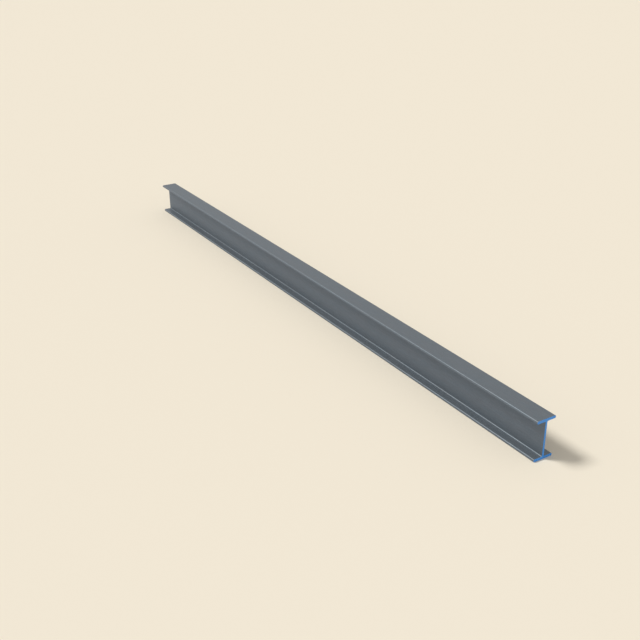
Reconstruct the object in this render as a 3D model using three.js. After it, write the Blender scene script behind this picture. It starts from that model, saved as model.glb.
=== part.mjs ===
// Rolled steel I-beam with parallel flanges, standing on its lower flange.
// Millimetres, +Z up. X runs along the beam, Y across the flanges and Z up the web.
// The origin is under the middle of the beam, on the underside of the lower flange.
// The end at +X is the one that carries the mill's colour mark.

import * as THREE from 'three';

// Driving dimensions

const DEPTH = 300; // over both flanges
const FLANGE_WIDTH = 155;
const FLANGE_THICKNESS = 20;
const WEB_THICKNESS = 14;
const ROOT_RADIUS = 8; // the rolls' fillet where the web runs into a flange
const TOE_RADIUS = 7; // the rounded edges along the flange toes
const LENGTH = 6000; // a stock length

const ARC_DIVISIONS = 6; // each quarter turn has twice as many facets

const RIGHT_ANGLE = Math.PI / 2;

// The corners up the right-hand side of the section, measured from its middle. Each one is
// an arc that starts at a quarter given in right angles, and turns by one right angle:
// counterclockwise round a flange toe, clockwise in a root.
function sideCorners() {
  const halfDepth = DEPTH / 2;
  const halfClear = halfDepth - FLANGE_THICKNESS;
  const toeY = FLANGE_WIDTH / 2 - TOE_RADIUS;
  const rootY = WEB_THICKNESS / 2 + ROOT_RADIUS;
  const toe = (z, quarter) => ({ y: toeY, z, radius: TOE_RADIUS, quarter, turn: 1 });
  const root = (z, quarter) => ({ y: rootY, z, radius: ROOT_RADIUS, quarter, turn: -1 });
  return [
    toe(TOE_RADIUS - halfDepth, -1),
    toe(-halfClear - TOE_RADIUS, 0),
    root(ROOT_RADIUS - halfClear, 3),
    root(halfClear - ROOT_RADIUS, 2),
    toe(halfClear + TOE_RADIUS, -1),
    toe(halfDepth - TOE_RADIUS, 0),
  ];
}

// The section is the same after half a turn, so its left-hand side repeats the right-hand one.
function sectionOutline() {
  const outline = new THREE.Shape();
  for (const side of [1, -1]) {
    const halfTurn = side === 1 ? 0 : Math.PI;
    for (const { y, z, radius, quarter, turn } of sideCorners()) {
      const start = quarter * RIGHT_ANGLE + halfTurn;
      const end = start + turn * RIGHT_ANGLE;
      outline.absarc(side * y, side * z, radius, start, end, turn < 0);
    }
  }
  outline.closePath();
  return outline;
}

// The section is extruded along its own normal, which is then laid along X.
function beamGeometry() {
  const geometry = new THREE.ExtrudeGeometry(sectionOutline(), {
    depth: LENGTH,
    bevelEnabled: false,
    curveSegments: ARC_DIVISIONS,
  });
  const across = new THREE.Vector3(0, 1, 0);
  const up = new THREE.Vector3(0, 0, 1);
  const along = new THREE.Vector3(1, 0, 0);
  geometry.translate(0, 0, -LENGTH / 2);
  geometry.applyMatrix4(new THREE.Matrix4().makeBasis(across, up, along));
  return geometry;
}

const millScaleSteel = new THREE.MeshStandardMaterial({
  color: 0x6b757a,
  roughness: 0.5,
  metalness: 0.6,
});

const beam = new THREE.Mesh(beamGeometry(), millScaleSteel);
beam.name = 'i_beam';
beam.position.z = DEPTH / 2;

const group = new THREE.Group();
group.add(beam);

export default group;
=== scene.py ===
"""Finish of a steel I-beam: mill scale, paint on one sawn end and bare steel on the other."""

import math

import bmesh
import bpy
from bpy.props import FloatProperty, FloatVectorProperty, PointerProperty
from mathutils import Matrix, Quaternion, Vector


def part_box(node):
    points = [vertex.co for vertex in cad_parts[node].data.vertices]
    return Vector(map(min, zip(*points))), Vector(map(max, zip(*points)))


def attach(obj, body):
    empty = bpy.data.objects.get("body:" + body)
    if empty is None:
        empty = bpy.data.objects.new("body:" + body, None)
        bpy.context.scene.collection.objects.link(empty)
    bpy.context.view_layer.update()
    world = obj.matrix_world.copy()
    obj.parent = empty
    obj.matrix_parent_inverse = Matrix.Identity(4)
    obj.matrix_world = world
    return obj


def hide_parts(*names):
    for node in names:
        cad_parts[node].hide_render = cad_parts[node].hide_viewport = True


bl_info = {
    "name": "Steel I-beam finish",
    "version": (1, 0, 0),
    "blender": (4, 5, 0),
    "location": "View3D > Sidebar > I-beam",
    "description": "Dresses an I-beam in mill scale, end paint and sawn steel, on a pale floor",
    "category": "Object",
}

NODE = "i_beam"
BODY = "root"

MM = 0.001

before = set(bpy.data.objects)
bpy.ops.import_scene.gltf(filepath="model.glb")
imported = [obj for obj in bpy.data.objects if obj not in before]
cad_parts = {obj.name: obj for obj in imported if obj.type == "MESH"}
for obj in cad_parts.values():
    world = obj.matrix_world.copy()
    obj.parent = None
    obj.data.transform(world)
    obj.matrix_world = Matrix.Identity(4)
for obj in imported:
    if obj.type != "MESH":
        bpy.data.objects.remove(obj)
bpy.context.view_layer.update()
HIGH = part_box(NODE)[1]
HALF_LENGTH = HIGH.x
HALF_WIDTH = HIGH.y


def linear(red, green, blue):
    """A colour written as 0 to 255, as Blender's linear numbers."""
    parts = [value / 255 for value in (red, green, blue)]
    return [c / 12.92 if c <= 0.04045 else ((c + 0.055) / 1.055) ** 2.4 for c in parts]


# Sizes and colours a user would change


class IBeamFinish(bpy.types.PropertyGroup):
    """Finish of the rolled faces and the two ends."""

    arris: FloatProperty(
        name="Sawn arris",
        description="Width of the dulled edge round the bare sawn end",
        default=0.6 * MM,
        unit="LENGTH",
    )
    paint_thickness: FloatProperty(
        name="Paint thickness",
        description="Thickness of the brushed coat on the painted end",
        default=0.4 * MM,
        unit="LENGTH",
    )
    scale_colour: FloatVectorProperty(
        name="Mill scale",
        description="Blue-grey oxide skin of the rolled faces",
        default=linear(104, 112, 118),
        subtype="COLOR",
    )
    dull_scale_colour: FloatVectorProperty(
        name="Dull mill scale",
        description="Greyer patches in the oxide skin",
        default=linear(106, 112, 117),
        subtype="COLOR",
    )
    sawn_colour: FloatVectorProperty(
        name="Sawn steel",
        description="Bare steel of the unpainted end",
        default=linear(160, 163, 166),
        subtype="COLOR",
    )
    paint_colour: FloatVectorProperty(
        name="End paint",
        description="Colour mark on the painted end",
        default=linear(62, 138, 209),
        subtype="COLOR",
    )


class IBeamStage(bpy.types.PropertyGroup):
    """Floor, light and camera."""

    floor_colour: FloatVectorProperty(
        name="Floor",
        description="Pale floor and backdrop",
        default=linear(242, 232, 213),
        subtype="COLOR",
    )
    lens: FloatProperty(
        name="Lens",
        description="Focal length on a 36 mm sensor",
        default=50.875,
        subtype="DISTANCE_CAMERA",
    )
    key_strength: FloatProperty(
        name="Key",
        description="Soft sun from high on the left",
        default=2.12,
    )
    fill_strength: FloatProperty(
        name="Fill",
        description="Broad low light on the painted end",
        default=0.8,
    )
    sky_strength: FloatProperty(
        name="Sky",
        description="Even light from all round",
        default=0.42,
    )
    bounce: FloatProperty(
        name="Bounce",
        description="Share of the light that the floor sends back to the beam, without its colour",
        default=0.82,
        subtype="FACTOR",
        min=0.0,
        max=1.0,
    )
    reflection: FloatProperty(
        name="Reflection",
        description="Brightness of the pale backdrop as the steel mirrors it",
        default=0.76,
        subtype="FACTOR",
        min=0.0,
        max=1.0,
    )


# Shader trees


class Value:
    """One output socket. Arithmetic on it adds Math nodes to its shader."""

    def __init__(self, shader, socket):
        self.shader = shader
        self.socket = socket

    def maths(self, operation, *operands, clamp=False):
        settings = {"operation": operation, "use_clamp": clamp}
        return self.shader.add("ShaderNodeMath", settings, dict(enumerate(operands)))

    def __add__(self, other):
        return self.maths("ADD", self, other)

    def __radd__(self, other):
        return self.maths("ADD", other, self)

    def __sub__(self, other):
        return self.maths("SUBTRACT", self, other)

    def __rsub__(self, other):
        return self.maths("SUBTRACT", other, self)

    def __mul__(self, other):
        return self.maths("MULTIPLY", self, other)

    def __rmul__(self, other):
        return self.maths("MULTIPLY", other, self)

    def __truediv__(self, other):
        return self.maths("DIVIDE", self, other)

    def __rtruediv__(self, other):
        return self.maths("DIVIDE", other, self)

    def __abs__(self):
        return self.maths("ABSOLUTE", self)

    def clamped(self):
        """Held between 0 and 1."""
        return self.maths("ADD", self, 0.0, clamp=True)

    def swing(self, amount):
        """Noise from 0 to 1 as noise round 0, with the amount for its whole span."""
        return (self - 0.5) * amount

    def over(self, level, contrast):
        """1 where this is well over a level, and 0 where it is under it."""
        return ((self - level) * contrast).clamped()


class Shader:
    """The node tree of one material, or of the world."""

    # A Mix node's sockets that carry colours
    MIX_A = 6
    MIX_B = 7
    MIX_COLOUR = 2

    def __init__(self, name, owner=None):
        self.owner = owner or bpy.data.materials.new(name)
        self.owner.use_nodes = True
        self.tree = self.owner.node_tree
        self.tree.nodes.clear()

    def add(self, kind, settings=None, inputs=None, output=0):
        """Adds a node, sets it up, feeds its sockets and gives back one output, if it has any."""
        node = self.tree.nodes.new(kind)
        for key, value in (settings or {}).items():
            setattr(node, key, value)
        for key, value in (inputs or {}).items():
            if isinstance(value, Value):
                self.tree.links.new(value.socket, node.inputs[key])
            else:
                node.inputs[key].default_value = value
        return Value(self, node.outputs[output]) if node.outputs else None

    def mix(self, factor, first, second):
        return self.add(
            "ShaderNodeMix",
            {"data_type": "RGBA"},
            {0: factor, self.MIX_A: first, self.MIX_B: second},
            self.MIX_COLOUR,
        )

    def scaled(self, colour, tone):
        """A colour made lighter or darker."""
        inputs = {0: colour, "Scale": tone}
        return self.add("ShaderNodeVectorMath", {"operation": "SCALE"}, inputs)

    def ray(self, kind):
        """1 on light rays of one kind, and 0 on the others."""
        return self.add("ShaderNodeLightPath", output=f"Is {kind} Ray")

    def seen(self):
        """1 on the rays by which a thing is looked at, also through glass, and 0 on the others."""
        return self.ray("Camera") + self.ray("Transmission")

    def bump(self, height, strength, distance):
        inputs = {"Height": height, "Strength": strength, "Distance": distance}
        return self.add("ShaderNodeBump", inputs=inputs)

    def place(self):
        return self.add("ShaderNodeTexCoord", output="Object")

    def along(self, axis):
        """Distance from the beam's origin along one axis."""
        return self.add("ShaderNodeSeparateXYZ", inputs={0: self.place()}, output=axis)

    def noise(self, stretch, turn=(0, 0, 0), detail=3.0, roughness=0.5):
        """Noise from 0 to 1 with so many lumps to the metre along X, Y and Z, turned by radians."""
        turned = self.add("ShaderNodeMapping", inputs={"Vector": self.place(), "Rotation": turn})
        spot = self.add(
            "ShaderNodeVectorMath", {"operation": "MULTIPLY"}, {0: turned, 1: stretch}
        )
        inputs = {"Vector": spot, "Scale": 1.0, "Detail": detail, "Roughness": roughness}
        return self.add("ShaderNodeTexNoise", inputs=inputs)

    def finish(self, sockets):
        """Feeds the surface shader's sockets and gives back the material."""
        surface = self.add("ShaderNodeBsdfPrincipled", inputs=sockets)
        self.add("ShaderNodeOutputMaterial", inputs={"Surface": surface})
        return self.owner


def opaque(colour):
    return (*colour, 1.0)


def neutral(brightness):
    return opaque((brightness, brightness, brightness))


# Materials. A noise's three numbers are its lumps to the metre along X, Y and Z.

SCALE_METAL = 0.55  # share of the mill scale that shines as metal
SCALE_ROUGHNESS = 0.48
SCALE_RELIEF = 0.3 * MM
TOE_BURNISH_AND_HIGHLIGHT = 8 * MM  # width of the strip along each flange toe that is burnished by handling and lightened as a painted highlight
SAWN_METAL = 0.9
SAWN_ROUGHNESS = 0.36
SAWN_RELIEF = 0.3 * MM
SAW_CENTRE = (0.0, -0.25, 0.55)  # at both ends the saw's arcs run round a line along X through this
SAW_MARKS = 380.0  # lumps to the metre, by distance from it
PAINT_ROUGHNESS = 0.45
PAINT_RELIEF = 0.5 * MM


def mill_scale(settings):
    """Blue-grey oxide skin, drawn out along the beam, with the flange toes burnished and lightened
    as a painted highlight.
    """
    shader = Shader("mill_scale")
    streaks = shader.noise((0.7, 45, 45), detail=4)
    clouds = shader.noise((2.5, 6, 6), detail=3)
    drawn = shader.noise((12, 260, 260), detail=3)
    mottle = shader.noise((90, 140, 140), detail=5, roughness=0.65)
    grain = shader.noise((900, 900, 900), detail=2)
    flakes = shader.noise((160, 240, 240), detail=4).over(0.62, contrast=12)
    rolled_lines = shader.noise((6, 700, 700), detail=1).over(0.68, contrast=10)
    scuffs = shader.noise((14, 900, 900), turn=(0, 0.5, 0.6), detail=1).over(0.7, contrast=10)
    scratches = (rolled_lines + scuffs).clamped()
    across = abs(shader.along("Y"))
    toe = ((across - (HALF_WIDTH - TOE_BURNISH_AND_HIGHLIGHT)) / TOE_BURNISH_AND_HIGHLIGHT).clamped()
    # Painted highlight: the toe strip is lightened, partly as burnish from handling and partly in
    # place of the bright line of light along the toes
    burnish_and_highlight = toe * (0.4 + clouds * 0.6)
    dull = shader.noise((6, 32, 32), detail=5).over(0.38, contrast=4)
    skin = shader.mix(dull, opaque(settings.scale_colour), opaque(settings.dull_scale_colour))

    broad = streaks.swing(0.05) + clouds.swing(0.06)
    fine = mottle.swing(0.75) + drawn.swing(0.4) + grain.swing(0.3)
    tone = 1 + broad + fine + scratches * 0.2 - flakes * 0.12 + burnish_and_highlight * 0.1
    matt = clouds.swing(0.1) + mottle.swing(0.5) + flakes * 0.08
    roughness = SCALE_ROUGHNESS + matt - scratches * 0.1 - burnish_and_highlight * 0.05
    relief = mottle * 0.6 + grain * 0.3 - flakes * 0.5 - scratches * 0.2
    return shader.finish(
        {
            "Base Color": shader.scaled(skin, tone),
            "Metallic": SCALE_METAL,
            "Roughness": roughness,
            "Normal": shader.bump(relief, strength=0.5, distance=SCALE_RELIEF),
        }
    )


def saw_marks(shader):
    """Fine arcs left by a large disc that came down through the section."""
    arm = shader.add(
        "ShaderNodeVectorMath", {"operation": "SUBTRACT"}, {0: shader.place(), 1: SAW_CENTRE}
    )
    reach = shader.add("ShaderNodeVectorMath", {"operation": "LENGTH"}, {0: arm}, "Value")
    inputs = {"W": reach, "Scale": SAW_MARKS, "Detail": 4.0, "Roughness": 0.8}
    return shader.add("ShaderNodeTexNoise", {"noise_dimensions": "1D"}, inputs)


def sawn_steel(settings):
    """Bare steel with the marks of the saw."""
    shader = Shader("sawn_steel")
    marks = saw_marks(shader)
    grain = shader.noise((500, 500, 500), detail=2)
    tone = 1 + marks.swing(0.9) + grain.swing(0.3)
    return shader.finish(
        {
            "Base Color": shader.scaled(tuple(settings.sawn_colour), tone),
            "Metallic": SAWN_METAL,
            "Roughness": SAWN_ROUGHNESS + marks.swing(0.4),
            "Normal": shader.bump(marks, strength=0.6, distance=SAWN_RELIEF),
        }
    )


def end_paint(settings):
    """Satin marking paint, brushed on thinly over the saw marks."""
    shader = Shader("end_paint")
    marks = saw_marks(shader)
    brush = shader.noise((60, 60, 420), detail=4)
    tone = 1 + brush.swing(0.5) + marks.swing(0.2)
    relief = brush * 0.7 + marks * 0.3
    return shader.finish(
        {
            "Base Color": shader.scaled(tuple(settings.paint_colour), tone),
            "Roughness": PAINT_ROUGHNESS + brush.swing(0.4),
            "Normal": shader.bump(relief, strength=0.5, distance=PAINT_RELIEF),
        }
    )


# Pieces

MERGE_DISTANCE = 0.001 * MM
FLAT_ANGLE = math.radians(1)
SHARP_ANGLE = math.radians(30)
SAWN_LEAN = 0.5  # a face that leans more than this towards -X is sawn, and not rolled
FAVOUR_LARGE = 100  # the largest faces set the normals, where 50 would favour none


def cad_copy():
    """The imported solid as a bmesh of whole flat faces."""
    bm = bmesh.new()
    bm.from_mesh(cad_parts[NODE].data)
    bmesh.ops.remove_doubles(bm, verts=bm.verts, dist=MERGE_DISTANCE)
    bmesh.ops.dissolve_limit(bm, angle_limit=FLAT_ANGLE, verts=bm.verts, edges=bm.edges)
    return bm


def end_face(bm, side):
    """The sawn face at +X (side 1) or -X (side -1)."""
    return max(bm.faces, key=lambda face: side * face.normal.x)


def cut_across(bm, x, keep):
    """Cuts the beam square at x, keeps the part on the given side and closes the cut."""
    cut = bmesh.ops.bisect_plane(
        bm,
        geom=[*bm.verts, *bm.edges, *bm.faces],
        dist=MERGE_DISTANCE,
        plane_co=(x, 0, 0),
        plane_no=(-keep, 0, 0),
        clear_outer=True,
    )
    rim = [item for item in cut["geom_cut"] if isinstance(item, bmesh.types.BMEdge)]
    bmesh.ops.contextual_create(bm, geom=rim)
    bmesh.ops.recalc_face_normals(bm, faces=bm.faces)


def round_rim(bm, face, width):
    """Rounds the edges round an end face."""
    bmesh.ops.bevel(
        bm,
        geom=list(face.edges),
        offset=width,
        affect="EDGES",
        segments=2,
        profile=0.5,
        material=-1,
        clamp_overlap=True,
    )


def finished_piece(bm, name, materials):
    """Turns a bmesh into a smooth piece that rides on the beam's body."""
    mesh = bpy.data.meshes.new(name)
    for face in bm.faces:
        face.smooth = True
    bm.to_mesh(mesh)
    bm.free()
    mesh.set_sharp_from_angle(angle=SHARP_ANGLE)
    for material in materials:
        mesh.materials.append(material)
    piece = bpy.data.objects.new(name, mesh)
    bpy.context.scene.collection.objects.link(piece)
    weighting = piece.modifiers.new("flat faces stay flat", "WEIGHTED_NORMAL")
    weighting.keep_sharp = True
    weighting.weight = FAVOUR_LARGE
    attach(piece, BODY)
    return piece


class IBEAM_OT_rolled_beam(bpy.types.Operator):
    """Makes the rolled beam, with a bare sawn face at its plain end"""

    bl_idname = "ibeam.rolled_beam"
    bl_label = "Rolled beam"

    def execute(self, context):
        settings = context.scene.ibeam_finish
        bm = cad_copy()
        cut_across(bm, HALF_LENGTH - settings.paint_thickness, keep=-1)
        round_rim(bm, end_face(bm, -1), settings.arris)
        for face in bm.faces:
            face.material_index = 1 if face.normal.x < -SAWN_LEAN else 0
        materials = [mill_scale(settings), sawn_steel(settings)]
        piece = finished_piece(bm, "rolled_beam", materials)
        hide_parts(NODE)
        return {"FINISHED"}


class IBEAM_OT_end_paint(bpy.types.Operator):
    """Makes the coat of paint on the end at +X"""

    bl_idname = "ibeam.end_paint"
    bl_label = "End paint"

    def execute(self, context):
        settings = context.scene.ibeam_finish
        bm = cad_copy()
        cut_across(bm, HALF_LENGTH - settings.paint_thickness, keep=1)
        round_rim(bm, end_face(bm, 1), settings.paint_thickness / 2)
        finished_piece(bm, "end_paint", [end_paint(settings)])
        return {"FINISHED"}


# Stage

CAMERA_PLACE = (6.4025, -3.7063, 3.2742)
CAMERA_YAW = math.radians(148.810)
CAMERA_PITCH = math.radians(-25.254)
CAMERA_ROLL = math.radians(-0.611)
SENSOR_WIDTH = 36.0
FLOOR_SPAN = 400.0
FLOOR_ROUGHNESS = 0.9
KEY_FROM = (-0.4545, -0.4545, 0.766)
KEY_ANGLE = math.radians(17.5)
FILL_FROM = (0.95, -0.25, 0.2)
FILL_ANGLE = math.radians(60)


def add_camera(settings):
    """Looks down along the beam from beyond its painted end."""
    level = math.cos(CAMERA_PITCH)
    sight = Vector(
        (level * math.cos(CAMERA_YAW), level * math.sin(CAMERA_YAW), math.sin(CAMERA_PITCH))
    )
    camera = bpy.data.objects.new("camera", bpy.data.cameras.new("camera"))
    camera.data.lens = settings.lens
    camera.data.sensor_width = SENSOR_WIDTH
    camera.data.clip_end = FLOOR_SPAN
    camera.location = CAMERA_PLACE
    camera.rotation_mode = "QUATERNION"
    roll = Quaternion((0, 0, 1), CAMERA_ROLL)
    camera.rotation_quaternion = sight.to_track_quat("-Z", "Y") @ roll
    bpy.context.scene.collection.objects.link(camera)
    bpy.context.scene.camera = camera


def add_sun(name, origin, angle, strength):
    """A soft distant light that shines from the origin's direction."""
    lamp = bpy.data.lights.new(name, "SUN")
    lamp.angle = angle
    lamp.energy = strength
    sun = bpy.data.objects.new(name, lamp)
    sun.rotation_mode = "QUATERNION"
    sun.rotation_quaternion = Vector(origin).to_track_quat("Z", "Y")
    bpy.context.scene.collection.objects.link(sun)


def add_floor(settings):
    """A level floor that shows its own colour and bounces neutral light."""
    bm = bmesh.new()
    bmesh.ops.create_grid(bm, x_segments=1, y_segments=1, size=FLOOR_SPAN / 2)
    mesh = bpy.data.meshes.new("floor")
    bm.to_mesh(mesh)
    bm.free()
    shader = Shader("floor")
    bounced, shown = neutral(settings.bounce), opaque(settings.floor_colour)
    colour = shader.mix(shader.seen(), bounced, shown)
    sockets = {"Base Color": colour, "Roughness": FLOOR_ROUGHNESS, "Specular IOR Level": 0.0}
    mesh.materials.append(shader.finish(sockets))
    floor = bpy.data.objects.new("floor", mesh)
    bpy.context.scene.collection.objects.link(floor)


def add_sky(settings):
    """Even light from all round, the floor's colour as a backdrop and a pale grey to mirror."""
    world = bpy.data.worlds.new("sky")
    bpy.context.scene.world = world
    world.use_nodes = True
    shader = Shader("sky", world)

    def background(colour, strength):
        return shader.add("ShaderNodeBackground", inputs={"Color": colour, "Strength": strength})

    def choose(ray, otherwise, chosen):
        return shader.add("ShaderNodeMixShader", inputs={0: ray, 1: otherwise, 2: chosen})

    light = background(neutral(1.0), settings.sky_strength)
    mirrored = background(neutral(1.0), settings.reflection)
    backdrop = background(opaque(settings.floor_colour), 1.0)
    lit = choose(shader.ray("Glossy"), light, mirrored)
    surface = choose(shader.seen(), lit, backdrop)
    shader.add("ShaderNodeOutputWorld", inputs={"Surface": surface})


class IBEAM_OT_stage(bpy.types.Operator):
    """Makes the floor, the lights and the camera"""

    bl_idname = "ibeam.stage"
    bl_label = "Stage"

    def execute(self, context):
        settings = context.scene.ibeam_stage
        context.scene.view_settings.view_transform = "Standard"
        add_floor(settings)
        add_sky(settings)
        add_sun("key", KEY_FROM, KEY_ANGLE, settings.key_strength)
        add_sun("fill", FILL_FROM, FILL_ANGLE, settings.fill_strength)
        add_camera(settings)
        return {"FINISHED"}


class IBEAM_PT_panel(bpy.types.Panel):
    """Lists the beam's pieces, its finish and its stage"""

    bl_idname = "IBEAM_PT_panel"
    bl_label = "Steel I-beam"
    bl_space_type = "VIEW_3D"
    bl_region_type = "UI"
    bl_category = "I-beam"

    def draw(self, context):
        for settings in (context.scene.ibeam_finish, context.scene.ibeam_stage):
            for name in settings.bl_rna.properties.keys():
                if name not in ("rna_type", "name"):
                    self.layout.prop(settings, name)
        for operator in OPERATORS:
            self.layout.operator(operator.bl_idname)


OPERATORS = (IBEAM_OT_rolled_beam, IBEAM_OT_end_paint, IBEAM_OT_stage)
CLASSES = (IBeamFinish, IBeamStage, *OPERATORS, IBEAM_PT_panel)


def register():
    for cls in CLASSES:
        bpy.utils.register_class(cls)
    bpy.types.Scene.ibeam_finish = PointerProperty(type=IBeamFinish)
    bpy.types.Scene.ibeam_stage = PointerProperty(type=IBeamStage)


def unregister():
    del bpy.types.Scene.ibeam_stage
    del bpy.types.Scene.ibeam_finish
    for cls in reversed(CLASSES):
        bpy.utils.unregister_class(cls)


def main():
    register()
    bpy.ops.ibeam.rolled_beam()
    bpy.ops.ibeam.end_paint()
    bpy.ops.ibeam.stage()


if __name__ == "__main__":
    main()
